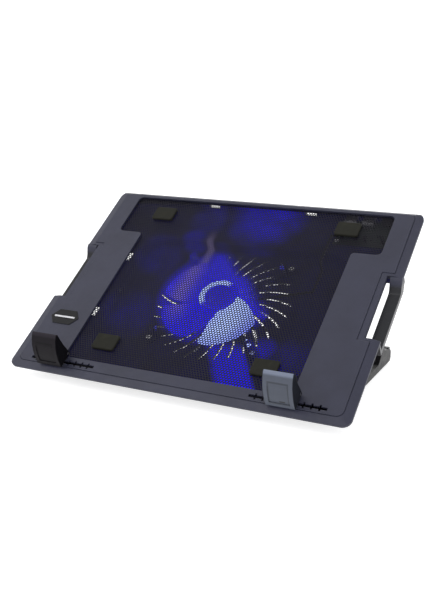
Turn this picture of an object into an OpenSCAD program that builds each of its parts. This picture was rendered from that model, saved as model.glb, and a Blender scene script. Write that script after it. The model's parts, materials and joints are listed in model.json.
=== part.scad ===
// Laptop cooling pad on a folding stand.
// The base frame stands on the table, the deck tilts on the front hinge and the strut props it up.
// Deck pieces are drawn flat: x across, y back from the deck's front edge, z = 0 on the top panel.

/* [Deck] */
// Width of the deck
deck_w = 380; // [360:1:400]
// Depth of the deck, front to back
deck_d = 282; // [276:1:292]
// Radius of the deck's corners
deck_corner_r = 9; // [4:1:14]
// Width of the sloped flange at the sides
flange_w = 10; // [9:0.5:12]
// Depth of the tray under the top panel
tray_depth = 16; // [15:0.5:17]
// Depth of the fan housing under the top panel
belly_depth = 28; // [27:0.5:28.5]
// Thickness of the plastic walls
wall = 2; // [1.6:0.1:2.4]

/* [Stand] */
// Tilt of the deck when raised
tilt = 33.2; // [30:0.1:34]
// Length of the base frame
base_d = 192; // [190:1:196]
// Width of the base frame
base_w = 324; // [318:1:330]
// Distance from the front hinge to the strut's pivot
pivot_reach = 97; // [95:0.5:99]
// Length of the strut, pivot to foot bar
strut_len = 98; // [96:0.5:99]

/* [Fan] */
// Radius of the fan blades
fan_r = 66; // [60:1:67]
// Number of fan blades
blades = 5; // [3:1:7]
// Number of slits in the intake grille
slits = 30; // [24:2:36]

/* [Stoppers] */
// Distance of each stopper's slot from the middle
slot_x = 126.5; // [122:0.5:130]
// Where the left stopper stands in its slot
left_slide = -10.5; // [-28:0.5:28]
// Where the right stopper stands in its slot
right_slide = -3.5; // [-28:0.5:28]
// Width of a stopper
stopper_w = 30; // [28:1:34]

/* [Hidden] */
$fn = 48;
eps = 0.01;
gap = 0.3;

// Top panel and flange
panel_t = 2.4;
flange_drop = 2;
flange_t = 2.6;
flange_front = 8;
flange_back = 4;
seam = 0.6;
flange_top = -0.4;
tray_x = deck_w / 2 - flange_w + 1;

// Window for the mesh: a wide part at the back and a narrower one in front of it
window_wide = 320;
window_narrow = 257;
window_front = 21;
window_step = 213;
window_back = deck_d - 8;
window_r = 6;
step_r = 4;
mesh_t = 0.8;
mesh_lap = 3;

// Hand grips: a notch in each side, crossed by a lower bar
notch_front = 102;
notch_back = 186;
notch_depth = 15.5;
notch_wall_x = deck_w / 2 - 22;
bar_w = 12.5;
bar_top = -13;
bar_t = 5.5;
ramp_len = 14;

// Fan and its housing
fan_y = 140;
belly_w = 258;
belly_front = 46;
belly_back = 224;
belly_r = 26;
hub_r = 18.5;
fan_top = -8;
fan_bottom = -20;
lead_angle = 20;
lamp_r = 76;
arm_end_r = 91;
slit_in = 42;
slit_out = 77;
slit_w = 3;
belly_floor = -belly_depth + wall;

// Stand
foot_t = 2;
hinge_y = 40;
hinge_z = -tray_depth - 6;
stand_hinge_z = 18.8;
pivot_y = hinge_y + pivot_reach;
pivot_z = -tray_depth - 4;
rail_w = 14;
beam_t = 8.5;
bar_r = 3;
sleeve_r = 3.6;
crest = 20;
stop_top = 24;
rail_end_h = 14.6;
foot_rise = crest + sleeve_r + gap - stand_hinge_z;
pivot_lift = pivot_z - hinge_z;
strut_angle = asin((pivot_reach * sin(tilt) + pivot_lift * cos(tilt) - foot_rise) / strut_len);
fold_ratio = (tilt + strut_angle) / tilt;
rack_notches = 4;
pin_r = 2;
arm_x = 138;
arm_w = 7;
arm_t = 7;
foot_bar_w = 318;
knuckle_x = 106;
knuckle_w = 14;
knuckle_r = 4.6;

// Where a deck point, given as [back, up] in the flat deck, stands once tilted, from the hinge
function back_of(p) = (p[0] - hinge_y) * cos(tilt) - (p[1] - hinge_z) * sin(tilt);
// Where the foot bar is when the deck is tilted by a, from the hinge
function foot_at(a) = [
    pivot_reach * cos(a) - pivot_lift * sin(a) + strut_len * cos((fold_ratio - 1) * a),
    pivot_reach * sin(a) + pivot_lift * cos(a) - strut_len * sin((fold_ratio - 1) * a)
];

// Stoppers
slot_y = 13.5;
slot_len = 78;
slot_w = 3.2;
carriage_w = 29;
stopper_pin_r = 1.5;
stopper_hinge_y = 22;
stopper_hinge_z = 4.4;

// Electronics at the right of the tray's rear wall
tray_back = deck_d - flange_back - wall;
board_x = 98;
board_w = 64;
board_y = 236;
board_len = tray_back - 0.6 - board_y;
board_z = -tray_depth + wall + 0.4;
board_t = 1.2;
board_top = board_z + board_t;
board_holes = [[102, 240], [158, 240]];
usb_xs = [110, 130];
usb_w = 13.1;
usb_h = 5.6;
usb_len = 13.6;
dial_x = 151;
dial_r = 8;
dial_y = tray_back - 3;
dial_z = -10.2;
dial_t = 3;

black = [0.07, 0.07, 0.08];
gunmetal = [0.27, 0.28, 0.31];
steel = [0.7, 0.7, 0.72];
blue = [0.15, 0.12, 0.85];
rubber = [0.16, 0.16, 0.14];

// ---- Placing ----

module on_deck()
    translate([0, stand_hinge_y, stand_hinge_z])
        rotate([tilt, 0, 0])
            translate([0, -hinge_y, -hinge_z])
                children();

module on_strut()
    on_deck()
        translate([0, pivot_y, pivot_z])
            rotate([-(tilt + strut_angle), 0, 0])
                translate([0, -pivot_y, -pivot_z])
                    children();

module both_sides() {
    children();
    mirror([1, 0, 0]) children();
}

// ---- Outlines ----

module rounded_rect(x0, y0, x1, y1, r) {
    translate([x0 + r, y0]) square([x1 - x0 - 2 * r, y1 - y0]);
    translate([x0, y0 + r]) square([x1 - x0, y1 - y0 - 2 * r]);
    for (x = [x0 + r, x1 - r], y = [y0 + r, y1 - r])
        translate([x, y]) circle(r);
}

module deck_outline()
    difference() {
        rounded_rect(-deck_w / 2, 0, deck_w / 2, deck_d, deck_corner_r);
        for (side = [-1, 1])
            translate([side * (deck_w / 2 - notch_depth + 20), (notch_front + notch_back) / 2])
                square([40, notch_back - notch_front], center = true);
    }

// The tray's outline, and the panel's, grown or shrunk by grow
module tray_outline(grow = 0)
    difference() {
        rounded_rect(-tray_x - grow, flange_front - grow, tray_x + grow, deck_d - flange_back + grow, 7 + grow);
        for (side = [-1, 1])
            translate([side * (notch_wall_x + grow + 20), (notch_front + notch_back) / 2])
                square([40, notch_back - notch_front + 8 - 2 * grow], center = true);
    }

module window_outline() {
    rounded_rect(-window_wide / 2, window_step, window_wide / 2, window_back, window_r);
    translate([-window_narrow / 2, window_front])
        square([window_narrow, window_step - window_front + window_r]);
    both_sides()
        translate([window_narrow / 2, window_step])
            difference() {
                translate([-eps, -step_r]) square([step_r + eps, step_r + eps]);
                translate([step_r, -step_r]) circle(step_r);
            }
}

module belly_outline(shrink = 0)
    rounded_rect(-belly_w / 2 + shrink, belly_front + shrink, belly_w / 2 - shrink, belly_back - shrink,
                 belly_r - shrink);

// A long slot with cross notches that the carriage clicks into
module click_slot() {
    square([slot_len, slot_w], center = true);
    for (i = [-4:4])
        translate([i * 8, 0]) square([1.8, 7], center = true);
}

// One intake slit: a blade-like arc from slit_in to slit_out
function slit_bend(r) = -15 * (r - slit_in) / (slit_out - slit_in);
module slit()
    polygon(concat(
        [for (r = [slit_in:5:slit_out]) [r * cos(slit_bend(r)), r * sin(slit_bend(r)) - slit_w / 2]],
        [for (r = [slit_out:-5:slit_in]) [r * cos(slit_bend(r)), r * sin(slit_bend(r)) + slit_w / 2]]
    ));

case_screw_places = [for (x = [-168, 168], y = [24, 90, 198, 268]) [x, y]];

// ---- Casings ----

module upper_case()
    color(gunmetal) on_deck() {
        difference() {
            translate([0, 0, -panel_t]) linear_extrude(panel_t) tray_outline();
            translate([0, 0, -panel_t - 1]) linear_extrude(panel_t + 2) window_outline();
            for (side = [-1, 1])
                translate([side * slot_x, slot_y, -panel_t - 1])
                    linear_extrude(panel_t + 2) click_slot();
        }
        for (p = case_screw_places)
            translate([p[0], p[1], -11])
                difference() {
                    cylinder(h = 11 - panel_t + eps, r = 3.2);
                    translate([0, 0, -1]) cylinder(h = 8, r = 1.2);
                }
    }

// Cuts that slope the flange down to its outer edge
module flange_slopes() {
    side_a = atan(flange_drop / (deck_w / 2 - tray_x));
    front_a = atan(flange_drop / flange_front);
    back_a = atan(flange_drop / flange_back);
    both_sides()
        translate([tray_x, -10, flange_top]) rotate([0, side_a, 0]) cube([40, deck_d + 20, 20]);
    translate([-deck_w, flange_front, flange_top]) rotate([front_a, 0, 0])
        translate([0, -40, 0]) cube([2 * deck_w, 40, 20]);
    translate([-deck_w, deck_d - flange_back, flange_top]) rotate([-back_a, 0, 0])
        cube([2 * deck_w, 40, 20]);
}

// The bar of a hand grip, with the ramp that drops to it from the flange
module grip_bar() {
    steps = 10;
    top = [for (i = [0:steps])
        [notch_back - ramp_len * i / steps,
         bar_top + (flange_top - flange_drop / 2 - bar_top) * (1 + cos(180 * i / steps)) / 2]];
    profile = concat([[notch_back + 3, flange_top - flange_drop]], top,
                     [[notch_front - 3, bar_top], [notch_front - 3, bar_top - bar_t],
                      [notch_back - 4, bar_top - bar_t], [notch_back + 3, bar_top - bar_t + 6]]);
    translate([deck_w / 2 - bar_w, 0, 0])
        rotate([90, 0, 90]) linear_extrude(bar_w) polygon(profile);
    // web that carries the bar's front end under the flange
    translate([deck_w / 2 - bar_w - 9, notch_front - 5, bar_top - bar_t])
        cube([bar_w + 9, 3, bar_t + flange_top - flange_drop - bar_top]);
    // web at the back end
    translate([deck_w / 2 - bar_w - 9, notch_back + 2, bar_top - bar_t + 6])
        cube([bar_w + 9, 3, flange_top - flange_drop - bar_top + bar_t - 6]);
}

module lower_case()
    color(gunmetal) on_deck()
        difference() {
            union() {
                // flange
                difference() {
                    translate([0, 0, flange_top - flange_drop - flange_t])
                        linear_extrude(flange_drop + flange_t) deck_outline();
                    flange_slopes();
                    translate([0, 0, -20]) linear_extrude(21) tray_outline(-1);
                }
                // tray
                difference() {
                    translate([0, 0, -tray_depth]) linear_extrude(tray_depth + flange_top) tray_outline();
                    translate([0, 0, -tray_depth + wall]) linear_extrude(tray_depth) tray_outline(-wall);
                }
                // housing around the fan
                translate([0, 0, -belly_depth]) linear_extrude(belly_depth - tray_depth + wall) belly_outline();
                both_sides() grip_bar();
                // screw bosses
                for (p = case_screw_places)
                    translate([p[0], p[1], -tray_depth]) cylinder(h = 5 - gap, r = 4.2);
                // hinge knuckles
                for (side = [-1, 1])
                    translate([side * knuckle_x - knuckle_w / 2, hinge_y, 0]) {
                        translate([0, 0, hinge_z]) rotate([0, 90, 0]) cylinder(h = knuckle_w, r = knuckle_r);
                        translate([0, -knuckle_r, hinge_z])
                            cube([knuckle_w, 2 * knuckle_r, -hinge_z - tray_depth + wall / 2]);
                    }
                // bosses for the strut's pins
                both_sides()
                    translate([belly_w / 2 - 4, pivot_y, pivot_z]) rotate([0, 90, 0]) cylinder(h = 8, r = 4.4);
            }
            // recess for the top panel
            translate([0, 0, -panel_t - 0.2]) linear_extrude(10) tray_outline(0.3);
            // inside of the housing
            translate([0, 0, belly_floor]) linear_extrude(belly_depth) belly_outline(wall);
            // intake slits
            for (i = [0:slits - 1])
                translate([0, fan_y, -belly_depth - 1]) rotate([0, 0, i * 360 / slits])
                    linear_extrude(wall + 2) slit();
            // vents in the tray's floor, beside the housing
            for (side = [-1, 1], y = [98, 186])
                translate([side * 138, y, -tray_depth]) cube([8, 13, 3 * wall], center = true);
            // vents in the rear wall
            for (side = [-1, 1])
                translate([side * 61, deck_d - flange_back - wall / 2, -9])
                    cube([13, wall + 6, 6], center = true);
            // sockets and dial in the rear wall
            for (x = usb_xs)
                translate([x - usb_w / 2 - 0.2, tray_back - 1, board_top - 0.1])
                    cube([usb_w + 0.4, wall + 2, usb_h + 0.4]);
            translate([dial_x - dial_r, tray_back - 1, dial_z - 0.4]) cube([2 * dial_r, wall + 2, dial_t + 0.8]);
            // screw holes
            for (p = case_screw_places)
                translate([p[0], p[1], -tray_depth - 1]) {
                    cylinder(h = 8, r = 1.7);
                    cylinder(h = 3, r = 3.1);
                }
            // bores of the hinge and of the strut's pins
            both_sides() {
                translate([knuckle_x - knuckle_w / 2 - 1, hinge_y, hinge_z]) rotate([0, 90, 0])
                    cylinder(h = knuckle_w + 2, r = pin_r + 0.08);
                translate([belly_w / 2 - 6, pivot_y, pivot_z]) rotate([0, 90, 0])
                    cylinder(h = 12, r = pin_r + 0.02);
            }
        }

module mesh_grille()
    color(black) on_deck()
        translate([0, 0, -panel_t - mesh_t])
            linear_extrude(mesh_t) {
                translate([-window_wide / 2 - mesh_lap, window_step - mesh_lap])
                    square([window_wide + 2 * mesh_lap, window_back - window_step + mesh_lap + 1]);
                translate([-window_narrow / 2 - mesh_lap, window_front - mesh_lap + 1])
                    square([window_narrow + 2 * mesh_lap, window_step - window_front]);
            }

// Rubber pads that the laptop rests on
pad_places = [[-114, 248], [114, 248], [-91, 48], [91, 48]];
pad_size = [27, 20];
pad_t = 3.4;
module grip_pads()
    color(rubber) on_deck()
        for (p = pad_places)
            translate([p[0], p[1], -panel_t])
                linear_extrude(pad_t)
                    rounded_rect(-pad_size[0] / 2, -pad_size[1] / 2, pad_size[0] / 2, pad_size[1] / 2, 3);

badge_at = [-157, 72];
module badge()
    color(black) on_deck()
        translate([badge_at[0], badge_at[1], 0])
            linear_extrude(0.7)
                polygon([[-18, 0], [-11, 10], [11, 10], [18, 0], [11, -10], [-11, -10]]);

module badge_bar()
    color(steel) on_deck()
        translate([badge_at[0], badge_at[1], 0.7])
            linear_extrude(0.3) square([26, 2.2], center = true);

// ---- Fan ----

// Motor plate on four arms, screwed to the housing's floor, with a post for each lamp
module fan_frame()
    color(black) on_deck() translate([0, fan_y, 0])
        difference() {
            union() {
                translate([0, 0, belly_floor]) cylinder(h = 2.4, r = hub_r + 2);
                translate([0, 0, belly_floor]) cylinder(h = 9, r = 4.5);
                for (a = [45:90:315])
                    rotate([0, 0, a]) {
                        translate([hub_r, -2.5, belly_floor]) cube([arm_end_r - hub_r - 2, 5, 2.4]);
                        translate([lamp_r + 1, -6, belly_floor]) cube([arm_end_r - lamp_r - 1, 12, 3]);
                        translate([lamp_r + 1.5, -4.5, belly_floor]) cube([3.5, 9, -10 - belly_floor]);
                    }
            }
            translate([0, 0, belly_floor + 2.4]) cylinder(h = 20, r = 3.02);
            for (a = [45:90:315])
                rotate([0, 0, a]) {
                    translate([arm_end_r - 5, 0, belly_floor - 1]) cylinder(h = 8, r = 1.6);
                    translate([lamp_r - 2, 0, -14]) rotate([0, 90, 0]) cylinder(h = 12, r = 2.6);
                }
        }

module fan_bearing()
    color("goldenrod") on_deck() translate([0, fan_y, belly_floor + 2.4])
        difference() {
            cylinder(h = 6.4, r = 3);
            translate([0, 0, 1]) cylinder(h = 10, r = 1.05);
        }

module fan_stator()
    color("darkgoldenrod") on_deck() translate([0, fan_y, belly_floor + 2.6])
        difference() {
            union() {
                cylinder(h = 5, r = 8);
                for (a = [0:60:300])
                    rotate([0, 0, a]) translate([5.6, -2.3, 0.3]) cube([7.9, 4.6, 4.4]);
            }
            translate([0, 0, -1]) cylinder(h = 10, r = 4.6);
        }

module fan_rotor()
    color(blue) on_deck() translate([0, fan_y, 0]) {
        difference() {
            translate([0, 0, fan_bottom + 2]) cylinder(h = fan_top - fan_bottom - 2, r = hub_r);
            translate([0, 0, fan_bottom + 1]) cylinder(h = fan_top - fan_bottom - 3, r = hub_r - 2);
        }
        difference() {
            translate([0, 0, fan_top - 5]) cylinder(h = 4, r = 3);
            translate([0, 0, fan_top - 6]) cylinder(h = 4, r = 1.01);
        }
        for (i = [0:blades - 1])
            rotate([0, 0, i * 360 / blades + 15]) fan_blade();
    }

// A flat blade set at an angle: a swept sector between the hub and the tip circle
module fan_blade()
    intersection() {
        difference() {
            translate([0, 0, fan_bottom + 1.2]) cylinder(h = fan_top - fan_bottom - 1.4, r = fan_r, $fn = 96);
            translate([0, 0, fan_bottom]) cylinder(h = 20, r = hub_r - 1);
        }
        translate([0, 0, (fan_top + fan_bottom) / 2 + 0.5]) rotate([11, 0, 0])
            translate([hub_r - 2, -24, -0.7]) cube([fan_r, 48, 1.4]);
    }

module fan_shaft()
    color(steel) on_deck() translate([0, fan_y, belly_floor + 3.6]) cylinder(h = 12.2, r = 1);

module leds()
    color("white") on_deck() translate([0, fan_y, -14])
        for (a = [45:90:315])
            rotate([0, 0, a]) translate([lamp_r, 0, 0]) rotate([0, 90, 0]) {
                cylinder(h = 5, r = 2.5);
                sphere(2.5);
            }

// ---- Electronics ----

module hub_board()
    color("darkgreen") on_deck()
        difference() {
            translate([board_x, board_y, board_z]) cube([board_w, board_len, board_t]);
            for (p = board_holes)
                translate([p[0], p[1], board_z - 1]) cylinder(h = 4, r = 1.3);
        }

module usb_sockets()
    color(steel) on_deck()
        for (x = usb_xs)
            translate([x - usb_w / 2, tray_back + wall - 0.2 - usb_len, board_top])
                difference() {
                    cube([usb_w, usb_len, usb_h]);
                    translate([0.4, 0.6, 0.4]) cube([usb_w - 0.8, usb_len, usb_h - 0.8]);
                }

module usb_tongues()
    color("blue") on_deck()
        for (x = usb_xs)
            translate([x - 5.4, tray_back + wall - 0.2 - usb_len + 0.6, board_top + usb_h - 2.3])
                cube([10.8, usb_len - 3, 1.5]);

module speed_pot()
    color(black) on_deck() translate([dial_x, dial_y, 0]) {
        translate([0, 0, board_top]) cylinder(h = dial_z - board_top - 0.2, r = 2.4);
        translate([0, 0, board_top]) cylinder(h = dial_z + dial_t - board_top - 0.6, r = 1.5);
    }

module speed_dial()
    color(black) on_deck() translate([dial_x, dial_y, dial_z])
        difference() {
            cylinder(h = dial_t, r = dial_r - 0.6);
            translate([0, 0, -1]) cylinder(h = dial_t + 0.6, r = 1.55);
            for (a = [0:15:345])
                rotate([0, 0, a]) translate([dial_r - 0.2, 0, -1]) cylinder(h = dial_t + 2, r = 0.8, $fn = 16);
        }

// Flat lead from the motor plate, along the housing floor and up to the board
lead_w = 2.4;
lead_t = 1.2;
lead_turn = [94, fan_y + 94 * tan(lead_angle)];
module fan_lead()
    color(black) on_deck() {
        translate([0, fan_y, belly_floor + 0.3]) rotate([0, 0, lead_angle])
            translate([hub_r + 2.4, -lead_w / 2, 0]) cube([80, lead_w, lead_t]);
        translate([lead_turn[0] - lead_w / 2, lead_turn[1] - 1.6, belly_floor + 0.3])
            cube([lead_w, 34, lead_t]);
        translate([lead_turn[0] - lead_w / 2, lead_turn[1] + 31.4, belly_floor + 0.3])
            cube([lead_w, lead_t, board_top + 1.4 - belly_floor]);
        translate([lead_turn[0] - lead_w / 2, lead_turn[1] + 31.4, board_top + 0.5])
            cube([lead_w, board_y + 12 - lead_turn[1] - 31.4, lead_t]);
        translate([lead_turn[0] - lead_w / 2, board_y + 10.8, board_top + 0.5]) cube([8, lead_t, lead_t]);
    }

// ---- Fasteners ----

module screw(head_r, head_h, r, length) {
    difference() {
        cylinder(h = head_h, r = head_r);
        for (a = [0, 90])
            rotate([0, 0, a]) translate([-head_r * 0.6, -0.3, -1]) cube([head_r * 1.2, 0.6, 1.8]);
    }
    translate([0, 0, head_h - eps]) cylinder(h = length, r = r);
}

module case_screws()
    color(steel) on_deck()
        for (p = case_screw_places)
            translate([p[0], p[1], -tray_depth + 0.2]) screw(2.8, 1.7, 1.15, 7.5);

module fan_screws()
    color(steel) on_deck() translate([0, fan_y, 0])
        for (a = [45:90:315])
            rotate([0, 0, a]) translate([arm_end_r - 5, 0, belly_floor + 5.2]) mirror([0, 0, 1])
                screw(2.9, 2, 1.4, 3.1);

module board_screws()
    color(steel) on_deck()
        for (p = board_holes)
            translate([p[0], p[1], board_top + 1.8]) mirror([0, 0, 1])
                screw(2.2, 1.6, 1.1, 1.4);

// ---- Stoppers ----

// Side view of a stopper, y back and z up from the panel
stopper_front = [[5.2, 2.2], [5.5, 7], [6.4, 13], [8.2, 19.5], [11, 26], [14.8, 31.5], [19, 35.2], [20.6, 35.4]];
stopper_back = [[21.4, 34.2], [21.6, 27], [22.2, 18], [23.6, 9], [24.4, 2.2]];

module stopper_profile() polygon(concat(stopper_front, stopper_back));

module extruded_across(w)
    translate([-w / 2, 0, 0]) rotate([90, 0, 90]) linear_extrude(w) children();

module on_slot(at)
    on_deck() translate([at, 0, 0]) children();

module stopper_body(at)
    on_slot(at)
        difference() {
            extruded_across(stopper_w) stopper_profile();
            // hollow back, open towards the laptop
            translate([0, 2.2, 0]) extruded_across(stopper_w - 5.2)
                polygon(concat([[3, -1], [5, 2.2]], [for (i = [1:5]) stopper_front[i]], [[15.6, 32.6], [40, 32.6], [40, -1]]));
            // shallow panel in the front face
            translate([0, -20, 0]) extruded_across(stopper_w - 9)
                polygon([[19, 7], [26.2, 7], [27, 13], [28.8, 19.5], [31, 25], [19, 25]]);
            translate([-stopper_w / 2 - 1, stopper_hinge_y, stopper_hinge_z]) rotate([0, 90, 0])
                cylinder(h = stopper_w + 2, r = stopper_pin_r + 0.06);
        }

module carriage(at)
    on_slot(at)
        difference() {
            union() {
                translate([-stopper_w / 2 + 3.2, 8.4, gap]) cube([stopper_w - 6.4, 16, 1.5]);
                // stem through the slot, and the shoe under the panel
                translate([-6, slot_y - slot_w / 2 + gap, -panel_t - 1])
                    cube([12, slot_w - 2 * gap, panel_t + 2]);
                translate([-9, slot_y - 3, -panel_t - gap - 1.6]) cube([18, 7, 1.6]);
                // hinge block
                translate([-10, stopper_hinge_y - 2.8, gap]) cube([20, 5.6, stopper_hinge_z - gap]);
                translate([-10, stopper_hinge_y, stopper_hinge_z]) rotate([0, 90, 0]) cylinder(h = 20, r = 2.8);
            }
            translate([-11, stopper_hinge_y, stopper_hinge_z]) rotate([0, 90, 0])
                cylinder(h = 22, r = stopper_pin_r + 0.02);
        }

module stopper_pin(at)
    on_slot(at) translate([0, stopper_hinge_y, stopper_hinge_z])
        rotate([0, 90, 0]) translate([0, 0, -stopper_w / 2 + 0.3])
            cylinder(h = stopper_w - 0.6, r = stopper_pin_r);

// Soft strip inside the stopper that the laptop's edge touches
module stopper_pad(at)
    on_slot(at) translate([0, 2.25, 0]) extruded_across(stopper_w - 9)
        polygon([[6.4, 13], [8.2, 19.5], [11, 26], [12.6, 26], [9.8, 19.5], [8, 13]]);

left_at = left_slide - slot_x;
right_at = right_slide + slot_x;
module left_carriage() color(gunmetal) carriage(left_at);
module right_carriage() color(gunmetal) carriage(right_at);
module left_stopper_pin() color(steel) stopper_pin(left_at);
module right_stopper_pin() color(steel) stopper_pin(right_at);
module left_stopper() color(gunmetal) stopper_body(left_at);
module right_stopper() color(gunmetal) stopper_body(right_at);
module left_stopper_pad() color(rubber) stopper_pad(left_at);
module right_stopper_pad() color(rubber) stopper_pad(right_at);

// ---- Stand ----

// The whole object is centred front to back on its lowest and highest deck corners
stand_hinge_y = -(back_of([20.6, 35.4]) + back_of([deck_d - flange_back, -tray_depth])) / 2;
front_y = stand_hinge_y - 6;
rear_y = front_y + base_d;
function foot_place(a) = foot_at(a) + [stand_hinge_y, stand_hinge_z];
rack_front = foot_place(tilt)[0];

// Side view of a rail: a low beam that rises to a stop, then the notched rack under the foot bar's path
module rail_profile()
    difference() {
        polygon(concat(
            [[front_y, foot_t], [rear_y - 3, foot_t], [rear_y, foot_t + 3], [rear_y, rail_end_h - 2],
             [rear_y - 2, rail_end_h]],
            [for (i = [2:9])
                let (p = foot_place(tilt * i / 9)) [min(p[0], rear_y - 6 + i * 0.1), p[1] - sleeve_r - gap]],
            [[rack_front - sleeve_r - 0.4, crest + 0.8], [rack_front - sleeve_r - 1.4, stop_top],
             [rack_front - 10, stop_top], [rack_front - 26, foot_t + beam_t], [front_y, foot_t + beam_t]]
        ));
        for (a = [tilt * 0.85, tilt * 0.62, tilt * 0.4])
            translate(foot_place(a) - [0, 2.6]) circle(2.6);
    }

module base_frame()
    color(black)
        difference() {
            union() {
                both_sides()
                    translate([base_w / 2 - rail_w, 0, 0])
                        rotate([90, 0, 90]) linear_extrude(rail_w) rail_profile();
                // front and rear beams
                translate([-base_w / 2 + 1, front_y, foot_t]) cube([base_w - 2, 17, 3.4]);
                translate([-base_w / 2 + 1, front_y, foot_t]) cube([base_w - 2, 3, 6]);
                translate([-base_w / 2 + 1, rear_y - 18, foot_t]) cube([base_w - 2, 16, 3.6]);
                // ribs that stiffen the beams
                for (x = [-60:40:60])
                    translate([x - 1, front_y, foot_t]) cube([2, 14, 5.6]);
                // hinge knuckles, on both sides of the deck's
                for (side = [-1, 1], off = [-1, 1])
                    translate([side * knuckle_x + off * (knuckle_w + 0.6) - knuckle_w / 2 + 0.3, stand_hinge_y, 0]) {
                        translate([0, 0, stand_hinge_z]) rotate([0, 90, 0])
                            cylinder(h = knuckle_w - 0.6, r = knuckle_r);
                        translate([0, -knuckle_r, foot_t])
                            cube([knuckle_w - 0.6, 2 * knuckle_r, stand_hinge_z - foot_t]);
                    }
            }
            for (side = [-1, 1])
                translate([side * knuckle_x - 1.5 * knuckle_w - 2, stand_hinge_y, stand_hinge_z]) rotate([0, 90, 0])
                    cylinder(h = 3 * knuckle_w + 4, r = pin_r + 0.02);
        }

module base_feet()
    color(rubber)
        for (x = [-1, 1], y = [front_y + 10, rear_y - 12])
            translate([x * (base_w / 2 - rail_w / 2), y, 0]) cylinder(h = foot_t, r = 5.5);

module hinge_pins()
    color(steel)
        for (side = [-1, 1])
            translate([side * knuckle_x - 1.5 * knuckle_w, stand_hinge_y, stand_hinge_z]) rotate([0, 90, 0])
                cylinder(h = 3 * knuckle_w, r = pin_r);

module strut()
    color(black) on_strut()
        difference() {
            union() {
                for (side = [-1, 1])
                    translate([side * arm_x - arm_w / 2, pivot_y, pivot_z]) {
                        translate([0, 0, -arm_t / 2]) cube([arm_w, strut_len, arm_t]);
                        rotate([0, 90, 0]) cylinder(h = arm_w, r = arm_t / 2);
                    }
                translate([-foot_bar_w / 2, pivot_y + strut_len, pivot_z]) rotate([0, 90, 0])
                    cylinder(h = foot_bar_w, r = bar_r);
                translate([-arm_x, pivot_y + strut_len - 6, pivot_z - 1.5]) cube([2 * arm_x, 6, 3]);
            }
            for (side = [-1, 1])
                translate([side * arm_x - arm_w / 2 - 1, pivot_y, pivot_z]) rotate([0, 90, 0])
                    cylinder(h = arm_w + 2, r = pin_r + 0.08);
        }

module strut_sleeves()
    color(rubber) on_strut()
        for (side = [-1, 1])
            translate([side * (base_w / 2 - rail_w / 2) - 6, pivot_y + strut_len, pivot_z]) rotate([0, 90, 0])
                difference() {
                    cylinder(h = 10, r = sleeve_r);
                    translate([0, 0, -1]) cylinder(h = 12, r = bar_r + 0.02);
                }

module strut_pins()
    color(steel) on_deck()
        both_sides()
            translate([belly_w / 2 - 3, pivot_y, pivot_z]) rotate([0, 90, 0])
                cylinder(h = arm_x + arm_w / 2 - belly_w / 2 + 4, r = pin_r);

upper_case();
lower_case();
mesh_grille();
grip_pads();
badge();
badge_bar();
fan_frame();
fan_bearing();
fan_stator();
fan_rotor();
fan_shaft();
leds();
hub_board();
usb_sockets();
usb_tongues();
speed_pot();
speed_dial();
fan_lead();
case_screws();
fan_screws();
board_screws();
left_carriage();
left_stopper_pin();
left_stopper();
left_stopper_pad();
right_carriage();
right_stopper_pin();
right_stopper();
right_stopper_pad();
base_frame();
base_feet();
hinge_pins();
strut();
strut_sleeves();
strut_pins();
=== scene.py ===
"""A laptop cooling pad on its folding stand: visible surfaces, materials, light and camera."""

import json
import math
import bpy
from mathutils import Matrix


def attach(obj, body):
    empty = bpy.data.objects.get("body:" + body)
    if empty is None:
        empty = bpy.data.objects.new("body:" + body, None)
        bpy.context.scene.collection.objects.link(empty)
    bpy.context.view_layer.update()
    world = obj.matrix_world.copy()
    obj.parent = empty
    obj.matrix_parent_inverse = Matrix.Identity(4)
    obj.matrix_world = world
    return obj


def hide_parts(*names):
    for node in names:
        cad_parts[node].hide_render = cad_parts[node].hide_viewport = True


bl_info = {
    "name": "Laptop cooling pad",
    "version": (1, 0, 0),
    "blender": (4, 5, 0),
    "location": "View3D > Sidebar > Cooling Pad",
    "description": "Builds the visible surfaces of a tilting laptop cooling pad",
    "category": "Add Mesh",
}

import bmesh
import bpy
import numpy as np
from bpy.props import FloatProperty, FloatVectorProperty, IntProperty, PointerProperty
from mathutils import Matrix, Vector

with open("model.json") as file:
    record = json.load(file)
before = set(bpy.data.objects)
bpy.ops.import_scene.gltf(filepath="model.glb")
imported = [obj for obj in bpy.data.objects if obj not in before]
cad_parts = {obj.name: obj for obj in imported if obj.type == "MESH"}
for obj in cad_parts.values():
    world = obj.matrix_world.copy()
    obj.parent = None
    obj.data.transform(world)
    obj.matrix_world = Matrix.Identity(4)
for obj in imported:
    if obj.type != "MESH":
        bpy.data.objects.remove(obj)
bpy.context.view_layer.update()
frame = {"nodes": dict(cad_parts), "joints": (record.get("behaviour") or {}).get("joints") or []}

MM = 0.001
JOINTS = {joint["name"]: joint for joint in frame["joints"]}
TILT = math.radians(-JOINTS["deck_tilt"]["range_deg"][0])
# Places in the flat deck, in mm: x from the middle, y from the front edge, z up from the panel's top
HINGE_Y, HINGE_Z = 40.0, -22.0
FAN_Y = 140.0
PANEL_UNDERSIDE = -2.4
FAN_MID = -14.0
BOARD_TOP = -12.35
INSIDE_TOP = -2.7
# The lower casing's inside: half width, front, back and floor
HOUSING = (127.4, 47.6, 222.4, -26.3)
TRAY = (179.4, 9.6, 276.4, -14.3)
# The grille: its front row, the step in the window, its back, and the half widths either side of the step
GRILLE_FRONT, GRILLE_STEP, GRILLE_BACK = 21.0, 212, 275.2
GRILLE_WIDE, GRILLE_NARROW = 161.6, 130.0
SHEET_THICKNESS, SHEET_GAP = 0.6, 0.06
# The powder coat narrows each hole to this share of its punched width
COAT_SHARE = 0.93
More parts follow.
